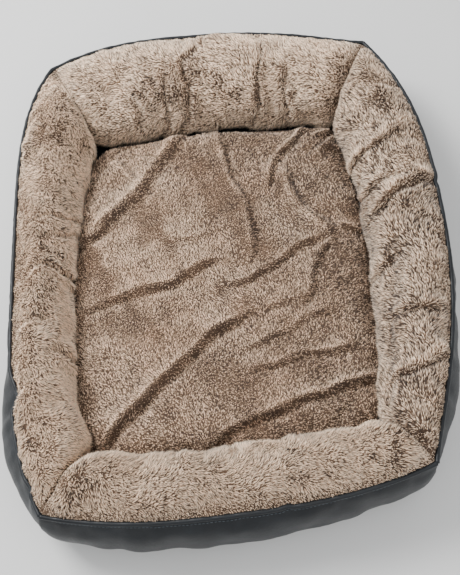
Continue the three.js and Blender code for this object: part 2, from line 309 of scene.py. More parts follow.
def scatter(grid, spacing, rng, field):
    """Even, jittered places on a grid surface: where they are, the two surface directions and
    the normal there, the shares along and across the grid, and the field's value there."""
    length = np.linalg.norm(np.diff(grid, axis=0), axis=-1).sum(0).max()
    breadth = np.linalg.norm(np.diff(grid, axis=1), axis=-1).sum(1).max()
    steps_a, steps_b = int(length / spacing), int(breadth / spacing)
    a, b = np.meshgrid(np.arange(steps_a), np.arange(steps_b), indexing="ij")
    a = (a + 0.5 + rng.uniform(-0.45, 0.45, a.shape)).ravel() / steps_a
    b = (b + 0.5 + rng.uniform(-0.45, 0.45, b.shape)).ravel() / steps_b
    x = a * (grid.shape[0] - 1)
    y = b * (grid.shape[1] - 1)
    i = np.minimum(x.astype(int), grid.shape[0] - 2)
    j = np.minimum(y.astype(int), grid.shape[1] - 2)
    fx, fy = (x - i)[:, None], (y - j)[:, None]
    p00, p10, p01, p11 = grid[i, j], grid[i + 1, j], grid[i, j + 1], grid[i + 1, j + 1]
    place = (p00 * (1 - fx) + p10 * fx) * (1 - fy) + (p01 * (1 - fx) + p11 * fx) * fy
    along = (p10 - p00) * (1 - fy) + (p11 - p01) * fy
    across = (p01 - p00) * (1 - fx) + (p11 - p10) * fx
    value = (field[i, j] * (1 - x + i) + field[i + 1, j] * (x - i)) * (1 - y + j)
    value = value + (field[i, j + 1] * (1 - x + i) + field[i + 1, j + 1] * (x - i)) * (y - j)
    area = np.linalg.norm(np.cross(along, across), axis=1)
    keep = rng.uniform(size=len(area)) < area * grid.shape[0] * grid.shape[1] / (length * breadth)
    along, across = unit(along), unit(across)
    normal = unit(np.cross(along, across))
    return [kept[keep] for kept in (place, along, across, normal, a, b, value)]


ROOT_DEPTH = 1.2 * MM
TUFT_FLATNESS = 0.7
LOWEST_TUFT = 0.8 * MM


def pile(name, places, normals, lean, length, width, lift, shade, clump, rng):
    """A coat of short tapered tufts, each a closed spike. lean is the way each lies, lift how
    steeply it stands, shade how pale it is, and clump a number per tuft: tufts of one clump draw
    their tips together."""
    count = len(places)
    tip = places + lean * (length * np.cos(lift))[:, None] + normals * (length * np.sin(lift))[:, None]
    group, member = np.unique(clump, return_inverse=True)
    total = np.zeros((len(group), 3))
    np.add.at(total, member, tip)
    mean = total / np.bincount(member)[:, None]
    tip = tip + (mean[member] - tip) * rng.uniform(0.0, 0.5, (count, 1))
    root = places - normals * ROOT_DEPTH
    side = unit(np.cross(lean, normals))
    other = unit(np.cross(unit(tip - root), side))
    spin = rng.uniform(0, 2 * np.pi, count)
    points = np.empty((count, 4, 3))
    for k in range(3):
        angle = spin + 2 * np.pi * k / 3
        offset = side * np.cos(angle)[:, None] + TUFT_FLATNESS * other * np.sin(angle)[:, None]
        points[:, k] = root + offset * (width / 2)[:, None]
    points[:, 3] = tip
    points[..., 2] = np.maximum(points[..., 2], LOWEST_TUFT)
    corners = [(0, 1, 3), (1, 2, 3), (2, 0, 3), (2, 1, 0)]
    faces = (4 * np.arange(count)[:, None, None] + np.array(corners)).reshape(-1, 3)
    piece = new_mesh(name, points.reshape(-1, 3), [faces])
    set_values(piece, "along", np.tile([0, 0, 0, 1], count))
    set_values(piece, "shade", np.repeat(shade, 4))
    cells = math.ceil(math.sqrt(count))
    column, row = np.arange(count) % cells, np.arange(count) // cells
    u = (column[:, None] + np.array([0.1, 0.5, 0.9, 0.5])) / cells
    v = (row[:, None] + np.array([0.1, 0.1, 0.1, 0.9])) / cells
    corner = faces.ravel()
    uv = np.stack([u.ravel()[corner], v.ravel()[corner]], -1)
    piece.data.uv_layers.new(name="OFBake").data.foreach_set("uv", uv.astype(np.float32).ravel())
    return piece


# ---- Materials ----


class Nodes:
    """Short ways to add and link the nodes of one material."""

    def __init__(self, name):
        self.material = bpy.data.materials.new(name)
        self.material.use_nodes = True
        self.tree = self.material.node_tree
        self.shader = self.tree.nodes["Principled BSDF"]

    def add(self, kind, **settings):
        node = self.tree.nodes.new(kind)
        for key, value in settings.items():
            setattr(node, key, value)
        return node

    def link(self, source, target):
        self.tree.links.new(source, target)

    def place(self, scale=(1, 1, 1)):
        mapping = self.add("ShaderNodeMapping")
        mapping.inputs["Scale"].default_value = scale
        self.link(self.add("ShaderNodeTexCoord").outputs["Object"], mapping.inputs["Vector"])
        return mapping.outputs["Vector"]

    def noise(self, scale, detail=3.0, rough=0.5, vector=None):
        node = self.add("ShaderNodeTexNoise")
        node.inputs["Scale"].default_value = scale
        node.inputs["Detail"].default_value = detail
        node.inputs["Roughness"].default_value = rough
        self.link(vector or self.place(), node.inputs["Vector"])
        return node.outputs["Fac"]

    def cells(self, scale, vector=None, feature="F1", output="Distance"):
        node = self.add("ShaderNodeTexVoronoi", feature=feature)
        node.inputs["Scale"].default_value = scale
        self.link(vector or self.place(), node.inputs["Vector"])
        return node.outputs[output]

    def value(self, name):
        return self.add("ShaderNodeAttribute", attribute_name=name).outputs["Fac"]

    def ramp(self, source, stops):
        node = self.add("ShaderNodeValToRGB")
        elements = node.color_ramp.elements
        while len(elements) < len(stops):
            elements.new(0.5)
        for element, (position, colour) in zip(elements, stops):
            element.position = position
            element.color = colour if len(colour) == 4 else (*colour, 1)
        self.link(source, node.inputs["Fac"])
        return node.outputs["Color"]

    def mix(self, factor, first, second, blend="MIX"):
        node = self.add("ShaderNodeMix", data_type="RGBA", blend_type=blend)
        for socket, value in ((0, factor), (6, first), (7, second)):
            if isinstance(value, bpy.types.NodeSocket):
                self.link(value, node.inputs[socket])
            elif socket == 0:
                node.inputs[socket].default_value = value
            else:
                node.inputs[socket].default_value = (*value, 1)
        return node.outputs[2]

    def math(self, operation, first, second=0.0):
        node = self.add("ShaderNodeMath", operation=operation)
        for socket, value in enumerate((first, second)):
            if isinstance(value, bpy.types.NodeSocket):
                self.link(value, node.inputs[socket])
            else:
                node.inputs[socket].default_value = value
        return node.outputs[0]

    def span(self, source, low, high):
        node = self.add("ShaderNodeMapRange")
        self.link(source, node.inputs["Value"])
        node.inputs["To Min"].default_value = low
        node.inputs["To Max"].default_value = high
        return node.outputs["Result"]

    def bump(self, height, distance, strength=1.0, below=None):
        node = self.add("ShaderNodeBump")
        node.inputs["Strength"].default_value = strength
        node.inputs["Distance"].default_value = distance
        self.link(height, node.inputs["Height"])
        if below is not None:
            self.link(below, node.inputs["Normal"])
        return node.outputs["Normal"]

    def finish(self, colour=None, roughness=None, normal=None, **constants):
        for name, value in (("Base Color", colour), ("Roughness", roughness), ("Normal", normal)):
            if value is None:
                continue
            if isinstance(value, bpy.types.NodeSocket):
                self.link(value, self.shader.inputs[name])
            else:
                self.shader.inputs[name].default_value = value
        for name, value in constants.items():
            self.shader.inputs[name.replace("_", " ")].default_value = value
        return self.material


def srgb(red, green, blue):
    """A shader colour from the eight-bit values that a paint chart gives."""
    return tuple(((c / 255 + 0.055) / 1.055) ** 2.4 if c > 10 else c / 3294 for c in (red, green, blue))


def leather_material():
    n = Nodes("leather")
    mottling = n.noise(9, 4)
    grain = n.cells(620, feature="SMOOTH_F1")
    fine = n.noise(1500, 2)
    tint = n.ramp(mottling, [(0.3, srgb(10, 13, 17)), (0.55, srgb(15, 19, 23)), (0.8, srgb(22, 27, 32))])
    worn = n.mix(n.span(n.noise(45, 5, 0.7), -0.5, 0.5), tint, srgb(42, 49, 55))
    colour = n.mix(n.span(grain, 0.0, 0.35), worn, srgb(11, 14, 17))
    roughness = n.math("ADD", n.span(mottling, 0.36, 0.5), n.span(grain, -0.04, 0.08))
    creases = n.bump(n.noise(70, 3, 0.6, n.place((1, 1, 0.35))), 0.0012, 0.5)
    grained = n.bump(grain, 0.0004, 0.7, creases)
    normal = n.bump(fine, 0.00015, 0.4, grained)
    return n.finish(colour, roughness, normal, Specular_IOR_Level=0.3)


def backing_material():
    n = Nodes("plush_backing")
    patches = n.noise(26, 4)
    knit = n.cells(380, feature="SMOOTH_F1")
    tint = n.ramp(patches, [(0.3, srgb(58, 42, 30)), (0.7, srgb(92, 70, 52))])
    colour = n.mix(n.span(knit, 0.0, 0.5), tint, srgb(40, 28, 20))
    return n.finish(colour, 0.95, n.bump(knit, 0.0012, 0.8))


# How a tuft's shade, from 0 to 1, darkens or lightens the hair's own colour; the shade carries the tufts'
# own tone and also painted shade and painted highlight.
TUFT_TONES = [
    (0.0, (0.05, 0.04, 0.04)), (0.14, (0.15, 0.13, 0.12)), (0.28, (0.60, 0.58, 0.56)),
    (0.6, (1.05, 1.03, 1.0)), (1.0, (1.75, 1.71, 1.66)),
]


def fur_material(name, root, body, tip, cool, patch_scale=14):
    """Hair that is dark at its root and pale at its tip, with paler and darker tufts and patches; the tufts'
    shade also holds painted shade and painted highlight.
    """
    n = Nodes(name)
    along = n.value("along")
    shade = n.value("shade")
    strand = n.ramp(along, [(0.0, root), (0.35, body), (0.8, tip), (1.0, tip)])
    tuft = n.ramp(shade, TUFT_TONES)
    toned = n.mix(1.0, strand, tuft, "MULTIPLY")
    patches = n.ramp(n.noise(patch_scale, 3, 0.55), [(0.35, (0, 0, 0)), (0.65, (1, 1, 1))])
    colour = n.mix(n.math("MULTIPLY", patches, 0.55), toned, n.mix(1.0, toned, cool, "MULTIPLY"))
    roughness = n.span(shade, 0.62, 0.85)
    return n.finish(colour, roughness, None, Sheen_Weight=0.12, Sheen_Roughness=0.5, Specular_IOR_Level=0.2)


def woven_material(name, dark, light, pitch=0.0011, roughness=0.85):
    """Plain weave in the piece's own axes, from two crossing waves."""
    n = Nodes(name)
    where = n.place()
    parts = n.add("ShaderNodeSeparateXYZ")
    n.link(where, parts.inputs[0])
    turn = math.pi / pitch
    warp = n.math("SINE", n.math("MULTIPLY", parts.outputs["X"], turn))
    weft = n.math("SINE", n.math("MULTIPLY", n.math("ADD", parts.outputs["Y"], parts.outputs["Z"]), turn))
    weave = n.span(n.math("MULTIPLY", warp, weft), 0.0, 1.0)
    slub = n.noise(60, 4)
    tint = n.ramp(weave, [(0.2, dark), (0.8, light)])
    colour = n.mix(n.span(slub, 0.0, 0.6), tint, dark)
    return n.finish(colour, n.span(slub, roughness - 0.1, roughness + 0.1), n.bump(weave, 0.0003, 0.8))


def fibre_material():
    n = Nodes("fibre_fill")
    strands = n.noise(160, 5, 0.7, n.place((1, 1, 0.3)))
    colour = n.ramp(strands, [(0.3, srgb(206, 203, 196)), (0.7, srgb(240, 238, 232))])
    return n.finish(colour, 0.95, n.bump(strands, 0.003, 0.9), Sheen_Weight=0.3)


def foam_material():
    n = Nodes("foam_core")
    pores = n.cells(420)
    colour = n.ramp(pores, [(0.1, srgb(168, 158, 128)), (0.5, srgb(222, 214, 190))])
    return n.finish(colour, 0.95, n.bump(pores, 0.0015, 0.8))


def metal_material():
    n = Nodes("zip_metal")
    rub = n.noise(420, 4, 0.6)
    colour = n.ramp(rub, [(0.35, srgb(118, 112, 102)), (0.65, srgb(176, 170, 160))])
    return n.finish(colour, n.span(rub, 0.28, 0.48), n.bump(rub, 0.0001, 0.5), Metallic=1.0)


def coil_material():
    n = Nodes("zip_coil")
    rub = n.noise(300, 3)
    colour = n.ramp(rub, [(0.3, srgb(52, 40, 32)), (0.7, srgb(84, 68, 56))])
    return n.finish(colour, n.span(rub, 0.35, 0.5), n.bump(rub, 0.0001, 0.4))


LEATHER = leather_material()
BACKING = backing_material()
LONG_FUR = fur_material(
    "long_plush", srgb(74, 57, 45), srgb(190, 163, 138), srgb(243, 222, 198), (0.84, 0.79, 0.75),
)
SHORT_FUR = fur_material(
    "short_plush", srgb(78, 60, 47), srgb(186, 157, 132), srgb(242, 219, 193), (0.92, 0.82, 0.76), 9,
)
UNDERSIDE = woven_material("cushion_cloth", srgb(78, 62, 50), srgb(112, 92, 76), 0.0016)
BASE_CLOTH = woven_material("base_cloth", srgb(26, 30, 33), srgb(52, 57, 61), 0.0018)
TAPE = woven_material("zip_tape", srgb(62, 48, 38), srgb(92, 74, 60), 0.0008)
THREAD = woven_material("thread", srgb(70, 78, 84), srgb(112, 120, 126), 0.0006, 0.7)
FIBRE = fibre_material()
FOAM = foam_material()
METAL = metal_material()
COIL = coil_material()


def paint(piece, material):
    piece.data.materials.clear()
    piece.data.materials.append(material)
    return piece


def place_piece(piece, body, material, replaces=()):
    """Gives a piece its material and body, and hides the CAD nodes that it stands for."""
    paint(piece, material)
    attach(piece, body)
    if replaces:
        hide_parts(*replaces)
    return piece


# ---- Camera ----

CAMERA_PLACE = (0.029, -0.714, 1.511)
CAMERA_ELEVATION = math.radians(65.55)
CAMERA_YAW = math.radians(2.89)
CAMERA_ROLL = math.radians(-8.23)
VERTICAL_VIEW = math.radians(40)


def add_camera():
    forward = np.array((
        -math.sin(CAMERA_YAW) * math.cos(CAMERA_ELEVATION),
        math.cos(CAMERA_YAW) * math.cos(CAMERA_ELEVATION),
        -math.sin(CAMERA_ELEVATION),
    ))
    level = np.array((math.cos(CAMERA_YAW), math.sin(CAMERA_YAW), 0))
    upright = np.cross(level, forward)
    right = level * math.cos(CAMERA_ROLL) + upright * math.sin(CAMERA_ROLL)
    up = -level * math.sin(CAMERA_ROLL) + upright * math.cos(CAMERA_ROLL)
    data = bpy.data.cameras.new("camera")
    data.sensor_width = 36
    data.lens = data.sensor_width / 2 / math.tan(VERTICAL_VIEW / 2)
    camera = bpy.data.objects.new("camera", data)
    turn = Matrix(np.column_stack([right, up, -forward]).tolist()).to_4x4()
    camera.matrix_world = Matrix.Translation(CAMERA_PLACE) @ turn
    bpy.context.scene.collection.objects.link(camera)
    bpy.context.scene.camera = camera


add_camera()

# ---- Bolsters ----

WALL_ROWS = 18
COVER_ROWS = 32
SECTIONS = 97
FLOOR_ROWS = 6
SWELL_CAP = 8 * MM
BOLSTER_PRESSURE = 4.0
BOLSTER_SLACK = 0.035
LOWEST_CLOTH = 2.2 * MM
# How deep the mitres draw in at the corners, how far the cloth swells beside them, and how far the
# seam's short gathers and the wall's broad ones stand out.
MITRE_DEPTH = 0.021
MITRE_PLUMPNESS = 0.0035
PUCKER = 0.0022
BROAD_PUCKER = 0.0010

# Creases across each bolster: the shares along the side at the piping and at the foot, the shares of
# the way over the cover where the crease starts and ends, its depth and its width.
CREASES = {
    "front": [(0.30, 0.34, 0.1, 0.8, 3, 10), (0.68, 0.62, 0.1, 0.8, 3, 10), (0.50, 0.47, 0.4, 0.85, 4, 10)],
    "right": [
        (0.73, 0.80, 0.12, 0.85, 9, 9), (0.60, 0.735, 0.2, 0.75, 6, 8), (0.60, 0.585, 0.02, 0.55, 10, 10),
        (0.21, -0.03, 0.08, 0.5, 9, 10), (0.30, 0.25, 0.05, 0.5, 6, 9), (0.45, 0.40, 0.3, 0.7, 6, 13),
    ],
    "back": [
        (0.525, 0.665, 0.12, 0.75, 9, 8), (0.325, 0.325, 0.15, 0.75, 9, 7), (0.62, 0.70, 0.25, 0.7, 5, 8),
        (0.22, 0.20, 0.3, 0.7, 5, 8), (0.80, 0.78, 0.2, 0.7, 4, 9),
    ],
    "left": [
        (0.42, 0.23, 0.2, 0.7, 8, 8), (0.465, 0.275, 0.25, 0.7, 6, 7), (0.53, 0.44, 0.2, 0.85, 10, 8),
        (0.70, 0.725, 0.4, 0.95, 9, 9), (0.62, 0.60, 0.1, 0.4, 4, 9),
    ],
}
# On the right side the cover stands higher past each crease than before it.
CREASE_STEP = {"front": 0, "right": 1, "back": -0.4, "left": 0}
# Long grooves that run along a bolster: shares along the side and over the cover, depth and width.
GROOVES = {
    "right": ([(0.02, 0.47), (0.15, 0.50), (0.33, 0.46), (0.50, 0.37)], 7, 0.06),
    "left": ([(0.40, 0.33), (0.52, 0.38), (0.64, 0.36)], 4, 0.06),
}
# Where the seam is pulled in towards the filling: the share along the side, how far, and how long
# the pull is before and after its deepest place.
SEAM_PULLS = {"left": [(0.79, 15, 0.08, 0.015), (0.955, 5, 0.03, 0.01)], "front": [(0.62, 3, 0.03, 0.01)]}


def side_shares(count):
    share = np.linspace(0, 1, count)
    eased = (1 - np.cos(np.pi * share)) / 2
    return share + (eased - share) * 0.45


def section_normals(grid, inward):
    """Outward directions that stay in each section's own plane, so that mitres stay joined."""
    step = np.gradient(grid, axis=1)
    across = (step[..., :2] * inward[:, None, :]).sum(-1)
    rise = step[..., 2]
    plan = -rise[..., None] * inward[:, None, :]
    return unit(np.concatenate([plan, across[..., None]], -1))


def even_along(values, reach):
    """Averages values along the side, so that the taut leather keeps no short wrinkles."""
    weights = np.exp(-(np.arange(-2 * reach, 2 * reach + 1) / reach) ** 2)
    padded = np.pad(values, ((2 * reach, 2 * reach), (0, 0), (0, 0)), mode="edge")
    total = sum(w * padded[k:k + len(values)] for k, w in enumerate(weights))
    return total / weights.sum()


def bolster_skin(side):
    """The bolster's cloth as one grid of points, from the wall's foot over the top to the
    cover's foot, with the shares along the side."""
    u = side_shares(SECTIONS)
    wall = smooth_curve(WALL_SKIN, WALL_ROWS)
    cover = smooth_curve(COVER_SKIN, COVER_ROWS)
    curve = np.vstack([wall, cover[1:]])
    grid = sweep(side, u, curve)
    floor = curve[-1] + (curve[0] - curve[-1]) * np.linspace(0, 1, FLOOR_ROWS + 2)[1:-1, None]
    under = sweep(side, u, floor)
    ring = np.concatenate([grid, under], axis=1)
    rows = ring.shape[1]
    points = ring.reshape(-1, 3)
    centres = np.array([ring[0].mean(0), ring[-1].mean(0)])
    pinned = np.zeros((SECTIONS, rows), bool)
    pinned[0] = pinned[-1] = True
    pinned[:, 0] = pinned[:, WALL_ROWS - 1] = True
    pinned[:, WALL_ROWS + COVER_ROWS - 2:] = True
    held = np.r_[pinned.ravel(), True, True]
    faces = tube_faces(SECTIONS, rows)
    swollen = inflate(
        np.vstack([points, centres]), faces, held, SWELL_CAP, BOLSTER_PRESSURE, BOLSTER_SLACK,
    )
    shift = (swollen[:len(points)] - points).reshape(SECTIONS, rows, 3)
    shift[:, :WALL_ROWS - 1] = even_along(shift[:, :WALL_ROWS - 1], 4)
    skin = (ring + shift)[:, :WALL_ROWS + COVER_ROWS - 1]
    return refine(skin), np.interp(np.arange(2 * SECTIONS - 1) / 2, np.arange(SECTIONS), u)


SEAM_ROW = 2 * (WALL_ROWS - 1)


def smooth_step(value, low, high):
    t = np.clip((value - low) / (high - low), 0, 1)
    return t * t * (3 - 2 * t)


def crease_depths(side, grid, length, cover):
    """How deep the creases and grooves cut at each point, in millimetres, and how much the pile
    parts there, with painted light: from -1, a painted highlight on a crest beside a crease, to 1, painted
    shade in a crease or groove."""
    depths = np.zeros(grid.shape[:2])
    crease_parting_and_painted_light = np.zeros(grid.shape[:2])
    run = length[-1]
    step = CREASE_STEP[side]
    wander = 0.010 * ripples(grid, 0.08, 21) + 0.003 * ripples(grid, 0.025, 22)
    for at_piping, at_foot, first, last, depth, width in CREASES[side]:
        middle = (at_piping + (at_foot - at_piping) * cover) * run
        off = (length[:, None] - middle + wander) / (width * MM)
        opening = smooth_step(cover, first - 0.08, first + 0.08)
        window = opening * (1 - smooth_step(cover, last - 0.1, last + 0.1))
        ahead = 0.4 * (1 + 0.6 * step) * np.exp(-((off - 1.8) / 1.1) ** 2)
        behind = 0.4 * (1 - 0.6 * step) * np.exp(-((off + 1.8) / 1.1) ** 2)
        depths += depth * window * (np.exp(-off**2) - ahead - behind)
        # Painted shade down the crease, less a painted highlight on the ridge ahead of it.
        crease_parting_and_painted_light += depth / 9 * window * (np.exp(-((off + 0.3 * step) / 0.8) ** 2) - 1.2 * ahead)
    if side in GROOVES:
        line, depth, width = GROOVES[side]
        share, across = np.array(line).T
        u = length / run
        place = np.interp(u, share, across)[:, None]
        window = smooth_step(u, share[0] - 0.03, share[0] + 0.03)
        window = window * (1 - smooth_step(u, share[-1] - 0.04, share[-1] + 0.04))
        off = (cover - place + 0.02 * ripples(grid, 0.05, 23)) / width
        banks = 0.35 * np.exp(-((np.abs(off) - 1.9) / 1.1) ** 2)
        depths += depth * window[:, None] * (np.exp(-off**2) - banks)
        # Painted shade down the groove.
        crease_parting_and_painted_light += 0.6 * window[:, None] * np.exp(-((off + 0.3) / 1.2) ** 2)
    return depths, np.clip(crease_parting_and_painted_light, -1, 1)


def seam_pull(side, u):
    """How far the seam is pulled in at the shares u along a side, in millimetres."""
    total = np.zeros(len(u))
    for share, distance, before, after in SEAM_PULLS.get(side, []):
        rise = smooth_step(u, share - before, share)
        fall = 1 - smooth_step(u, share, share + after)
        total += distance * np.where(u <= share, rise, fall)
    return total


def shape_bolster(side):
    """Adds the drawn-in corners, the creases, the soft lumps and the wall's gathers. Gives the
    skin, the shares and lengths along it, and at each point the painted shade in the creases and the painted
    highlight beside them, which also part the pile."""
    grid, u = bolster_skin(side)
    inward = section_frames(side, u)[1]
    from_seam = np.abs(np.arange(grid.shape[1]) - SEAM_ROW)
    pull = MM * seam_pull(side, u)[:, None] * np.exp(-(from_seam / 9) ** 2)
    grid = grid.copy()
    grid[..., :2] += inward[:, None, :] * pull[..., None]
    normals = section_normals(grid, inward)
    length = np.r_[0, np.cumsum(np.linalg.norm(np.diff(grid[:, SEAM_ROW], axis=0), axis=1))]
    run = length[-1]
    from_end = np.minimum(length, run - length)[:, None]
    row = np.arange(grid.shape[1])
    cover = np.clip((row - SEAM_ROW) / (len(row) - 1 - SEAM_ROW), 0, 1)[None, :]
    wall = np.clip((SEAM_ROW - row) / SEAM_ROW, 0, 1)[None, :]
    on_cover = (row >= SEAM_ROW)[None, :]
    away = np.where(on_cover, np.clip(cover * 9, 0, 1), np.clip(wall * 5, 0, 1))
    lumps = 0.0045 * ripples(grid, 0.13, 11) + 0.0022 * ripples(grid, 0.05, 12)
    shift = lumps * away * np.where(on_cover, 1, 0.35)
    foot = np.clip((1 - cover) * 6, 0, 1)
    depths, crease_parting_and_painted_light = crease_depths(side, grid, length, cover)
    shift = shift - MM * depths * on_cover
    valley = np.exp(-(from_end / 0.015) ** 1.15)
    shift = shift - MITRE_DEPTH * valley * np.where(on_cover, np.clip(cover * 5, 0, 1), wall**0.5 * 0.3)
    plump = np.exp(-((from_end - 0.045) / 0.022) ** 2)
    shift = shift + MITRE_PLUMPNESS * plump * on_cover * np.clip(cover * 5, 0, 1)
    on_line = np.stack([length, 0 * length, 0 * length], -1)
    puckers = ripples(on_line, 0.028, 31)[:, None]
    broad = ripples(on_line, 0.075, 32)[:, None]
    fade = np.clip(from_end / 0.03, 0, 1)
    below = np.exp(-wall / 0.35) * np.clip(wall * 8, 0, 1)
    gathers = PUCKER * puckers * below + BROAD_PUCKER * broad * np.sin(np.pi * wall)
    shift = shift + gathers * fade * ~on_cover
    near_seam = np.exp(-cover / 0.10) * np.clip(cover * 12, 0, 1)
    shift = shift + PUCKER * puckers * near_seam * fade * on_cover
    shaped = grid + normals * (shift * foot)[..., None]
    shaped[..., 2] = np.maximum(shaped[..., 2], LOWEST_CLOTH)
    return shaped, u, length, crease_parting_and_painted_light * on_cover


def strip(grid, rows, thickness):
    part = grid[:, rows]
    return thicken(part.reshape(-1, 3), grid_faces(*part.shape[:2]), thickness)


BACKING_THICKNESS = 3 * MM
LEATHER_THICKNESS = 1.6 * MM
PIPING_RADIUS = 4.3 * MM
PIPING_RISE = 2.5 * MM
STITCH_PITCH = 0.0068
STITCH_LENGTH = 0.005
THREAD_RADIUS = 0.00065


def stitches(path, outward, pitch, length, radius):
    """Small closed thread stitches laid end to end along a path, bedded in the surface."""
    run = np.r_[0, np.cumsum(np.linalg.norm(np.diff(path, axis=0), axis=1))]
    starts = np.arange(0.012, run[-1] - 0.012, pitch)
    parts = []
    for start in starts:
        t = start + np.linspace(0, length, 5)
        line = np.column_stack([np.interp(t, run, path[:, k]) for k in range(3)])
        lift = np.column_stack([np.interp(t, run, outward[:, k]) for k in range(3)])
        bow = np.sin(np.linspace(0, np.pi, 5))[:, None]
        parts.append(tube(line + lift * radius * (bow * 1.1 - 0.4), radius * (0.55 + 0.45 * bow[:, 0]), 6))
    return join(parts)


FUR_SPACING = 2.4 * MM
FUR_LENGTH = 9 * MM
FUR_WIDTH = 2.5 * MM
FUR_CLUMP = 8 * MM
# The way the pile is brushed on each side: 0 is towards the nest, and a quarter turn is along the side.
FUR_HEADING = {"front": 1.9, "right": 1.3, "back": 1.9, "left": 1.2}
# How even the pile lies on each side; and how pale each side's tufts are painted, a painted light falling
# from the left that leaves the left side palest and the right side darkest.
FUR_UNPARTED = {"front": 0.4, "right": 0.0, "back": 0.3, "left": 0.35}
FUR_PAINTED_PALENESS = {"front": 2.1, "right": 0.85, "back": 1.6, "left": 3.2}
FILL_INSET = 13 * MM


def comb(places, along, across, heading, spread, seed, rng):
    """The way each tuft lies: a heading turned by noise at two scales and a little at random."""
    turn = heading + spread * (
        1.0 * ripples(places, 0.16, seed) + 0.6 * ripples(places, 0.045, seed + 1)
    ) + rng.normal(0, 0.28, len(places))
    return unit(across * np.cos(turn)[:, None] + along * np.sin(turn)[:, None])


def tuft_shades(painted_light_and_parting, painted_paleness, rng):
    """How pale each tuft is, from 0 to 1: mostly dark where the pile parts and where painted shade falls,
    and paler on crests as a painted highlight.
    """
    shade = rng.uniform(size=len(painted_light_and_parting)) ** (1 / painted_paleness)
    dark = rng.uniform(size=len(painted_light_and_parting)) < 0.5 * np.clip(painted_light_and_parting, 0, 1.2)
    shade = np.where(dark, shade * 0.15, shade)
    return shade + (1 - shade) * 0.85 * np.clip(-painted_light_and_parting, 0, 1)


def clumps(a, b, count_a, count_b, rng):
    i = np.floor(a * count_a + rng.uniform(-0.35, 0.35, len(a))).astype(int)
    j = np.floor(b * count_b + rng.uniform(-0.35, 0.35, len(b))).astype(int)
    return (i + 2) * (count_b + 8) + j + 2


def add_bolster(side):
    grid, u, length, crease_parting_and_painted_light = shape_bolster(side)
    rng = np.random.default_rng(100 + SIDES.index(side))
    cover = new_mesh(f"{side}_plush_cover", *strip(grid, slice(SEAM_ROW, None), BACKING_THICKNESS))
    place_piece(cover, "bolster_frame", BACKING, [f"{side}_bolster_cover"])
    wall = new_mesh(f"{side}_leather_wall", *strip(grid, slice(0, SEAM_ROW + 1), LEATHER_THICKNESS))
    place_piece(wall, "bolster_frame", LEATHER, [f"{side}_wall_panel"])
    inward = section_frames(side, u)[1]
    normals = section_normals(grid, inward)
    seam = grid[:, SEAM_ROW].copy()
    seam[:, 2] += PIPING_RISE
    seam[:, :2] -= inward * 0.0015
    seam += 0.0007 * ripples(seam, 0.03, 41)[:, None] * np.array((0, 0, 1.0))
    radius = PIPING_RADIUS * (1 + 0.06 * ripples(seam, 0.012, 42))
    piping = new_mesh(f"{side}_piping_cord", *tube(seam, radius, 12))
    place_piece(piping, "bolster_frame", LEATHER, [f"{side}_piping"])
    row = SEAM_ROW - 2
    sewn = stitches(grid[:, row], normals[:, row], STITCH_PITCH, STITCH_LENGTH, THREAD_RADIUS)
    thread = new_mesh(f"{side}_topstitching", *sewn)
    place_piece(thread, "bolster_frame", THREAD)
    # crease: the painted shade in the creases and the painted highlight beside them, at each tuft.
    place, along, across, normal, a, b, crease = scatter(
        grid[:, SEAM_ROW:], FUR_SPACING, rng, crease_parting_and_painted_light[:, SEAM_ROW:],
    )
    lean = comb(place, along, across, FUR_HEADING[side] - 0.5 * b, 0.7, 51, rng)
    near_end = np.clip(np.minimum(a, 1 - a) * length[-1] / 0.025, 0.35, 1)
    near_seam = np.clip(b * 9, 0.45, 1)
    long = FUR_LENGTH * rng.uniform(0.7, 1.25, len(place)) * near_end * near_seam
    long = long * (1 - 0.3 * np.clip(crease, 0, 1))
    wide = FUR_WIDTH * rng.uniform(0.7, 1.25, len(place))
    parted = ripples(place, 0.09, 53) + 0.6 * ripples(place, 0.03, 54)
    parted = np.clip(parted - FUR_UNPARTED[side], 0, 1)
    lift = np.radians(rng.normal(34, 9, len(place)) + 30 * parted)
    if side == "right":
        across_top = smooth_step(b, 0.08, 0.2) * (1 - smooth_step(b, 0.42, 0.52))
        parted = parted + 0.3 * (1 - smooth_step(a, 0.2, 0.6)) * across_top
    # Each tuft's shade: painted shade in the creases and painted highlight beside them, the pile's own
    # parting, and the side's painted paleness.
    shade = tuft_shades(crease + 0.6 * parted, FUR_PAINTED_PALENESS[side], rng)
    group = clumps(a, b, int(length[-1] / FUR_CLUMP), int(0.22 / FUR_CLUMP), rng)
    coat = pile(f"{side}_plush_pile", place, normal, lean, long, wide, lift, shade, group, rng)
    place_piece(coat, "bolster_frame", LONG_FUR)
    inset = grid - normals * FILL_INSET
    bottom = (inset[:, -1:] + (inset[:, :1] - inset[:, -1:]) * np.linspace(0, 1, 8)[None, 1:-1, None])
    ring = np.concatenate([inset[4:-4:3, ::3], bottom[4:-4:3]], axis=1)
    ring[..., 2] = np.maximum(ring[..., 2], 0.006)
    ring = ring + 0.0006 * ripples(ring, 0.03, 61)[..., None]
    points = np.vstack([ring.reshape(-1, 3), ring[0].mean(0), ring[-1].mean(0)])
    fill = new_mesh(f"{side}_fibre_filling", points, tube_faces(*ring.shape[:2]))
    place_piece(fill, "bolster_frame", FIBRE, [f"{side}_bolster_fill"])


for side in SIDES:
    add_bolster(side)

paint(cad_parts["base_panel"], BASE_CLOTH)

# ---- Cushion ----

RIM_HEIGHT = 68
CUSHION_CROWN = 88
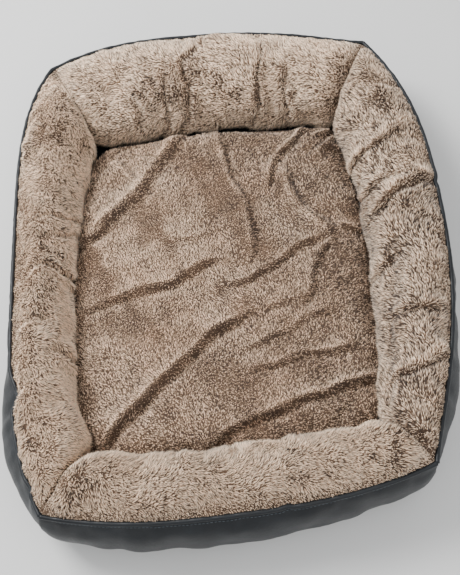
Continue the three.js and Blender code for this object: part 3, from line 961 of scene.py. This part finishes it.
# The boxing's rows from the rim's seam down: share of the way out and height, with two rows on the
# zip slot's edges, then where the underside starts.
BOXING_ROWS = [
    (1, 68), (1, 60), (1, 52), (1, 45), (1, 38), (1, 26), (0.998, 14), (0.985, 6.5), (0.965, 4),
]
BOXING_SPREAD = (1, 0.35, 0, 0, 0, 0, 0, 0, 0)
ZIP_SLOT_ENDS = (-196, 188)
ZIP_SLOT_HEIGHTS = (38, 52)
CUSHION_COLUMNS = 81
CUSHION_LINES = 105
CUSHION_CAP = 9 * MM
CUSHION_PRESSURE = 1.2
CUSHION_SLACK = 0.02
UNDERSIDE_SHARE = 0.965
UNDERSIDE_LEVEL = 4

# Folds in the cushion's top: plan points, height, width of the gentle side and of the steep one.
# Each falls away steeply on its right.
FOLDS = [
    ([(-292, -386), (-240, -330), (-158, -260), (-98, -205), (-38, -155), (42, -115)], 13, 26, 8),
    ([(60, -118), (100, -112), (140, -104)], 4, 18, 7),
    ([(-20, -58), (30, -58), (66, -42), (100, -22), (134, 2), (168, 18), (202, 32)], 8, 16, 6),
    ([(128, -128), (150, -92), (160, -50), (184, -6), (206, 16)], 9, 12, 6),
    ([(216, 30), (180, 62), (154, 97), (137, 140), (130, 200)], 11, 20, 8),
    ([(34, -30), (46, 30), (42, 86), (34, 130), (14, 185), (-8, 305)], 13, 34, 8),
    ([(88, 138), (102, 187), (126, 230), (163, 272), (196, 300)], 9, 11, 6),
    ([(250, 270), (228, 244), (190, 203)], 7, 10, 6),
    ([(198, 262), (222, 276), (246, 288)], 6, 8, 5),
    ([(212, 232), (240, 238), (262, 232)], 4, 8, 5),
    ([(226, 40), (246, 41), (270, 32)], 7, 12, 5),
    ([(-300, 74), (-232, 127), (-189, 163), (-155, 213), (-99, 288), (-60, 318)], 11, 26, 12),
    ([(-185, 189), (-213, 235), (-240, 256)], 7, 14, 6),
    ([(-292, 72), (-270, 82), (-244, 100)], 5, 9, 5),
    ([(-298, -92), (-190, -60), (-125, -47), (-62, -19), (-12, -4)], 9, 22, 7),
    ([(-120, 40), (-60, 52), (10, 66)], 3, 16, 6),
    ([(5, -203), (64, -181), (123, -156), (190, -130)], 5, 18, 6),
    ([(10, -242), (54, -238), (94, -230), (139, -222), (238, -214)], 7, 16, 6),
    ([(-84, -380), (-28, -350), (29, -332), (96, -310), (169, -292), (254, -276)], 11, 20, 7),
]
FOLD_POINTS = 48
# Where the cushion's edge stands back from the bolster: plan place, half length and how far. The second
# leaves room for the zip's pull, turned up, at the right end of its travel, but not further along.
GAPS = [(-150, 300, 80, -10), (130, 300, 120, -12), (190, -370, 62, 9)]
GAP_REACH = 90


def fold_shapes(plan):
    """How far the folds lift the cushion's top, in millimetres, at plan points in millimetres, and
    the painted light on the pile there, from -1, a painted highlight on a fold's crest, to 1, painted shade
    on its steep side."""
    total = np.zeros(len(plan))
    shaded = np.zeros(len(plan))
    flat = np.column_stack([plan, 0 * plan[:, 0]])
    wander = plan + 3.5 * np.column_stack([ripples(flat, 70, 71), ripples(flat, 70, 72)])
    for points, height, width, drop in FOLDS:
        line = smooth_curve(points, FOLD_POINTS)
        along = unit(np.gradient(line, axis=0))
        offset = wander[:, None, :] - line[None]
        nearest = (offset**2).sum(-1).argmin(1)
        gap = offset[np.arange(len(plan)), nearest]
        way = along[nearest]
        left = way[:, 0] * gap[:, 1] - way[:, 1] * gap[:, 0]
        past = np.linalg.norm(gap, axis=1)
        share = nearest / (FOLD_POINTS - 1)
        taper = np.clip(np.minimum(share, 1 - share) * 5 + 0.3, 0, 1) ** 1.2
        ends = (nearest == 0) | (nearest == FOLD_POINTS - 1)
        away = np.where(ends, past, np.abs(left))
        gentle = np.exp(-(away / width) ** 1.35)
        trough = 0.42 * np.exp(-((away - 2.1 * drop) / (1.15 * drop)) ** 2)
        steep = np.exp(-(away / drop) ** 1.7) - trough
        profile = np.where(left >= 0, gentle, steep)
        profile = np.where(ends, gentle * np.exp(-(past / 14) ** 2), profile)
        total += height * taper * profile
        # Painted shade along the steep side, and a painted highlight on the crest's gentle side.
        dark = np.exp(-((away - 0.9 * drop) / (0.62 * drop)) ** 2) * (left < 0) * ~ends
        bright = np.exp(-((away - 0.2 * drop) / (0.9 * drop)) ** 2) * (left >= 0) * ~ends
        shaded += min(height / 10, 1) * taper * (dark - 1.1 * bright)
    return total, np.clip(shaded, -1, 1)


def stand_back(points):
    """Moves the cushion's edge back from the bolster where a gap shows."""
    moved = points.copy()
    for x, y, half, distance in GAPS:
        near = np.exp(-((points[..., 0] / MM - x) / half) ** 2)
        depth = np.clip(1 - np.abs(points[..., 1] / MM - y) / GAP_REACH, 0, 1)
        moved[..., 1] += MM * distance * near * depth
    return moved


def patch(plan, across, along):
    """The plan point, in metres, for a point of the square from -1 to 1."""
    u = np.clip((across + 1) / 2, 0, 1)
    v = np.clip((along + 1) / 2, 0, 1)
    corners = MM * np.array(plan["corners"], float)
    shares = [(1 - u) * (1 - v), u * (1 - v), u * v, (1 - u) * v]
    point = side_line(plan, "front", u) * (1 - v)[..., None]
    point = point + side_line(plan, "back", 1 - u) * v[..., None]
    point = point + side_line(plan, "left", 1 - v) * (1 - u)[..., None]
    point = point + side_line(plan, "right", v) * u[..., None]
    for corner, share in zip(corners, shares):
        point = point - corner * share[..., None]
    return point


def cushion_place(across, along, plan=CUSHION_PLAN):
    """As patch(), with the square's corners rounded off first."""
    reach = np.maximum(np.maximum(np.abs(across), np.abs(along)), 1e-9)
    x, y = np.abs(across) / reach, np.abs(along) / reach
    squared = np.maximum(x**CUSHION_ROUNDNESS + y**CUSHION_ROUNDNESS, 1) ** (1 / CUSHION_ROUNDNESS)
    return patch(plan, across / squared, along / squared)


def rim_crowded(count):
    t = np.linspace(-1, 1, count)
    return np.sign(t) * (1 - (1 - np.abs(t)) ** 1.2)


def rim_loop(grid):
    """A grid's outermost points in anticlockwise order, seen from above."""
    return np.concatenate([grid[:-1, 0], grid[-1, :-1], grid[:0:-1, -1], grid[0, :0:-1]])


def cushion_columns():
    """Places across the cushion, with two of them on the ends of the zip's slot."""
    places = rim_crowded(CUSHION_COLUMNS)
    right, left = (corner[0] for corner in CUSHION_PLAN["corners"][2:])
    for end in ZIP_SLOT_ENDS:
        share = 2 * (end - left) / (right - left) - 1
        places[np.abs(places - share).argmin()] = share
    return places


def cushion_shape():
    """The cushion's cloth: the top's grid, the boxing's rows and the underside's grid."""
    across, along = np.meshgrid(cushion_columns(), rim_crowded(CUSHION_LINES), indexing="ij")
    plan = cushion_place(across, along, CUSHION_TOP_PLAN)
    crown = ((1 - np.abs(across) ** 16) * (1 - np.abs(along) ** 16)) ** 0.34
    height = RIM_HEIGHT + (CUSHION_CROWN - RIM_HEIGHT) * crown
    top = stand_back(np.concatenate([plan, MM * height[..., None]], -1))
    loop_a, loop_b = rim_loop(across), rim_loop(along)
    rows = []
    for (share, level), spread in zip(BOXING_ROWS, BOXING_SPREAD):
        edge = cushion_place(loop_a * share, loop_b * share)
        edge = edge + (stand_back(cushion_place(loop_a, loop_b, CUSHION_TOP_PLAN)) - edge) * spread
        rows.append(np.column_stack([edge, np.full(len(edge), MM * level)]))
    boxing = np.stack(rows)
    under_plan = cushion_place(across * UNDERSIDE_SHARE, along * UNDERSIDE_SHARE)
    under = np.concatenate([under_plan, np.full_like(under_plan[..., :1], UNDERSIDE_LEVEL * MM)], -1)
    return top, boxing, under


def pillow_faces(shape):
    """Faces of a closed pillow: an upper grid, a lower grid after it, and the skirt between them."""
    index = np.arange(shape[0] * shape[1]).reshape(shape)
    upper, lower = rim_loop(index), rim_loop(index + index.size)
    return [grid_faces(*shape), grid_faces(*shape, first=index.size)[:, ::-1], skirt_faces(upper, lower)]


def swell_cushion(top, under):
    """Presses the top's cloth up from inside, with the seam, the boxing and the underside held."""
    shape = top.shape[:2]
    count = shape[0] * shape[1]
    points = np.vstack([top.reshape(-1, 3), under.reshape(-1, 3)])
    held = np.ones(2 * count, bool)
    free = np.ones(shape, bool)
    free[[0, -1]] = free[:, [0, -1]] = False
    held[:count] = ~free.ravel()
    swollen = inflate(points, pillow_faces(shape), held, CUSHION_CAP, CUSHION_PRESSURE, CUSHION_SLACK)
    return swollen[:count].reshape(*shape, 3)


def zip_slot_faces(boxing):
    """Which of the boxing's faces the zip's slot takes away."""
    ahead = np.roll(boxing, -1, axis=1)
    middle = (boxing[:-1] + boxing[1:] + ahead[:-1] + ahead[1:]) / 4
    x, y, z = np.moveaxis(middle, -1, 0) / MM
    inside = (x > ZIP_SLOT_ENDS[0]) & (x < ZIP_SLOT_ENDS[1]) & (y > 250)
    return inside & (z > ZIP_SLOT_HEIGHTS[0]) & (z < ZIP_SLOT_HEIGHTS[1])


PLUSH_SPACING = 2.35 * MM
PLUSH_LENGTH = 4.8 * MM
PLUSH_WIDTH = 2.3 * MM
PLUSH_CLUMP = 5 * MM
CORE_SHARE = 0.95
CORE_DROP = 16 * MM
CORE_UNDERSIDE = 9 * MM
TRAY_THICKNESS = 2.2 * MM
RIM_SEAM_RADIUS = 2.2 * MM


def folded_top(top, under):
    """The cushion's top cloth, swollen and folded, and at each point the folds' painted shade and painted
    highlight, which also part the pile a little.
    """
    flat = top[..., :2].reshape(-1, 2) / MM
    seeds = 0.3 * MM * fold_shapes(flat)[0].reshape(top.shape[:2])
    inside = np.clip((top[..., 2] / MM - RIM_HEIGHT) / 9, 0, 1)
    top[..., 2] += (seeds + 0.0012 * ripples(top, 0.06, 73)) * inside
    top = refine(swell_cushion(top, under))
    flat = top[..., :2].reshape(-1, 2) / MM
    inside = np.clip((top[..., 2] / MM - RIM_HEIGHT) / 12, 0, 1)
    lift, painted_light_and_parting = (values.reshape(top.shape[:2]) for values in fold_shapes(flat))
    # The folds' painted shade and highlight, broken up by noise.
    painted_light_and_parting = painted_light_and_parting * np.clip(0.75 + 0.5 * ripples(top, 0.05, 79), 0.2, 1)
    lift = MM * lift
    lumps = 0.0025 * ripples(top, 0.16, 74) + 0.0011 * ripples(top, 0.045, 75)
    top[..., 2] += (lift + lumps - 0.002) * inside
    return top, painted_light_and_parting


def add_tray(boxing, under):
    """The cushion's boxing and underside in one, with the slot for the zip."""
    under_flat = under.reshape(-1, 3)
    boxed = boxing[:-1].reshape(-1, 3)
    first, loop = len(boxed), boxing.shape[1]
    index = first + np.arange(len(under_flat)).reshape(under.shape[:2])
    bottom_row = skirt_faces(np.arange(first - loop, first), rim_loop(index))
    kept = ~zip_slot_faces(boxing[:-1]).ravel()
    floor = grid_faces(*under.shape[:2], first=first)[:, ::-1]
    faces = np.vstack([loop_faces(len(boxing) - 1, loop)[kept], bottom_row, floor])
    points = np.vstack([boxed, under_flat])
    height = points[:, 2] / MM
    bulge = np.clip((height - 8) / 20, 0, 1) * np.clip((66 - height) / 10, 0, 1)
    beside_zip = (points[:, 1] > 0.27) & (np.abs(points[:, 0] + 0.004) < 0.21)
    puff = np.where(beside_zip, 0, 0.0016 + 0.0012 * ripples(points, 0.05, 76)) * bulge
    points = points + unit(points * (1, 1, 0)) * puff[:, None]
    tray = new_mesh("cushion_boxing_and_underside", *thicken(points, faces, TRAY_THICKNESS))
    place_piece(tray, "cushion", UNDERSIDE, ["cushion_underside"])


def add_rim_seam(top):
    rim = rim_loop(top)
    rim = np.vstack([rim, rim[:2]])
    rim[:, :2] += unit(rim[:, :2]) * 0.0012
    seam = tube(rim, RIM_SEAM_RADIUS * (1 + 0.12 * ripples(rim, 0.012, 77)), 8)
    place_piece(new_mesh("cushion_rim_seam", *seam), "cushion", UNDERSIDE)


def add_cushion_pile(top, painted_light_and_parting):
    """The teddy-like pile: short tufts that lie every way, with painted shade towards the back and the right
    and a painted pool of light left of the middle.
    """
    rng = np.random.default_rng(7)
    # crease: the folds' painted shade and painted highlight at each tuft.
    place, along, across, normal, a, b, crease = scatter(top, PLUSH_SPACING, rng, painted_light_and_parting)
    lean = comb(place, along, across, 0.6, 1.5, 81, rng)
    lean = unit(lean + rng.normal(0, 0.45, lean.shape) * (1, 1, 0))
    lean = unit(lean - normal * (lean * normal).sum(1, keepdims=True))
    long = PLUSH_LENGTH * rng.uniform(0.6, 1.25, len(place))
    long = long * (1 - 0.2 * np.clip(crease, 0, 1))
    wide = PLUSH_WIDTH * rng.uniform(0.7, 1.3, len(place))
    lift = np.clip(np.radians(rng.normal(42, 14, len(place))), 0.2, 1.4)
    parted = np.clip(ripples(place, 0.06, 82) - 0.5, 0, 1)
    # A painted pool of light left of the middle, and painted shade growing towards the back and the right.
    painted_light_pool = np.exp(-((place[:, 0] + 0.12) / 0.16) ** 2 - ((place[:, 1] + 0.02) / 0.2) ** 2)
    painted_paleness = 0.72 - 0.6 * place[:, 0] - 0.5 * place[:, 1] + 0.85 * painted_light_pool
    shade = tuft_shades(crease + 0.7 * parted, np.clip(painted_paleness, 0.4, 3), rng)
    group = clumps(a, b, int(0.53 / PLUSH_CLUMP), int(0.68 / PLUSH_CLUMP), rng)
    coat = pile("cushion_plush_pile", place, normal, lean, long, wide, lift, shade, group, rng)
    place_piece(coat, "cushion", SHORT_FUR)


def add_core(crown):
    """The foam core, inside the tray's own outline so that it stays behind the zip."""
    across, along = np.meshgrid(cushion_columns(), rim_crowded(CUSHION_LINES), indexing="ij")
    plan = cushion_place(across * CORE_SHARE, along * CORE_SHARE)
    upper = np.concatenate([plan, crown - CORE_DROP], -1)[::2, ::2]
    upper = upper + (0, 0, 0.0008) * ripples(upper, 0.05, 78)[..., None]
    lower = upper * (1, 1, 0) + (0, 0, CORE_UNDERSIDE)
    points = np.vstack([upper.reshape(-1, 3), lower.reshape(-1, 3)])
    core = new_mesh("cushion_foam", points, pillow_faces(upper.shape[:2]))
    place_piece(core, "cushion", FOAM, ["cushion_core"])


def add_cushion():
    top, boxing, under = cushion_shape()
    crown = top[..., 2:].copy()
    top, painted_light_and_parting = folded_top(top, under)
    faces = grid_faces(*top.shape[:2])
    panel = new_mesh("cushion_plush_top", *thicken(top.reshape(-1, 3), faces, BACKING_THICKNESS))
    place_piece(panel, "cushion", BACKING, ["cushion_top_panel"])
    add_tray(boxing, under)
    add_rim_seam(top)
    add_cushion_pile(top, painted_light_and_parting)
    add_core(crown)


add_cushion()

for name, material in (
    ("zip_tape_upper", TAPE), ("zip_tape_lower", TAPE), ("zip_teeth_upper", COIL), ("zip_teeth_lower", COIL),
    ("zip_stop_left", METAL), ("zip_stop_right", METAL), ("zip_slider", METAL), ("zip_pull", METAL),
):
    paint(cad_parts[name], material)

# ---- Stage ----


FLOOR_HALF = 60
FLOOR_HEIGHT = -0.0005
LIGHTS = (
    ("key", (-1.3, 0.8, 2.1), 1.0, 100),
    ("fill", (1.3, -1.6, 2.6), 2.5, 25),
)


def add_stage():
    corners = np.array([(-1, -1), (1, -1), (1, 1), (-1, 1)]) * FLOOR_HALF
    floor = new_mesh("floor", np.column_stack([corners, np.full(4, FLOOR_HEIGHT)]), [[[0, 1, 2, 3]]])
    n = Nodes("floor")
    paint(floor, n.finish(n.ramp(n.noise(1.5), [(0.3, (0.58, 0.58, 0.57)), (0.7, (0.62, 0.62, 0.61))]), 0.9))
    world = bpy.data.worlds.new("world")
    bpy.context.scene.world = world
    world.use_nodes = True
    world.node_tree.nodes["Background"].inputs["Color"].default_value = (0.97, 0.98, 1, 1)
    world.node_tree.nodes["Background"].inputs["Strength"].default_value = 1.15
    for name, place, size, power in LIGHTS:
        light = bpy.data.lights.new(name, "AREA")
        light.size = size
        light.energy = power
        lamp = bpy.data.objects.new(name, light)
        bpy.context.scene.collection.objects.link(lamp)
        aim = Vector((0, 0, 0.1)) - Vector(place)
        lamp.rotation_mode = "QUATERNION"
        lamp.rotation_quaternion = aim.to_track_quat("-Z", "Y")
        lamp.location = place


add_stage()
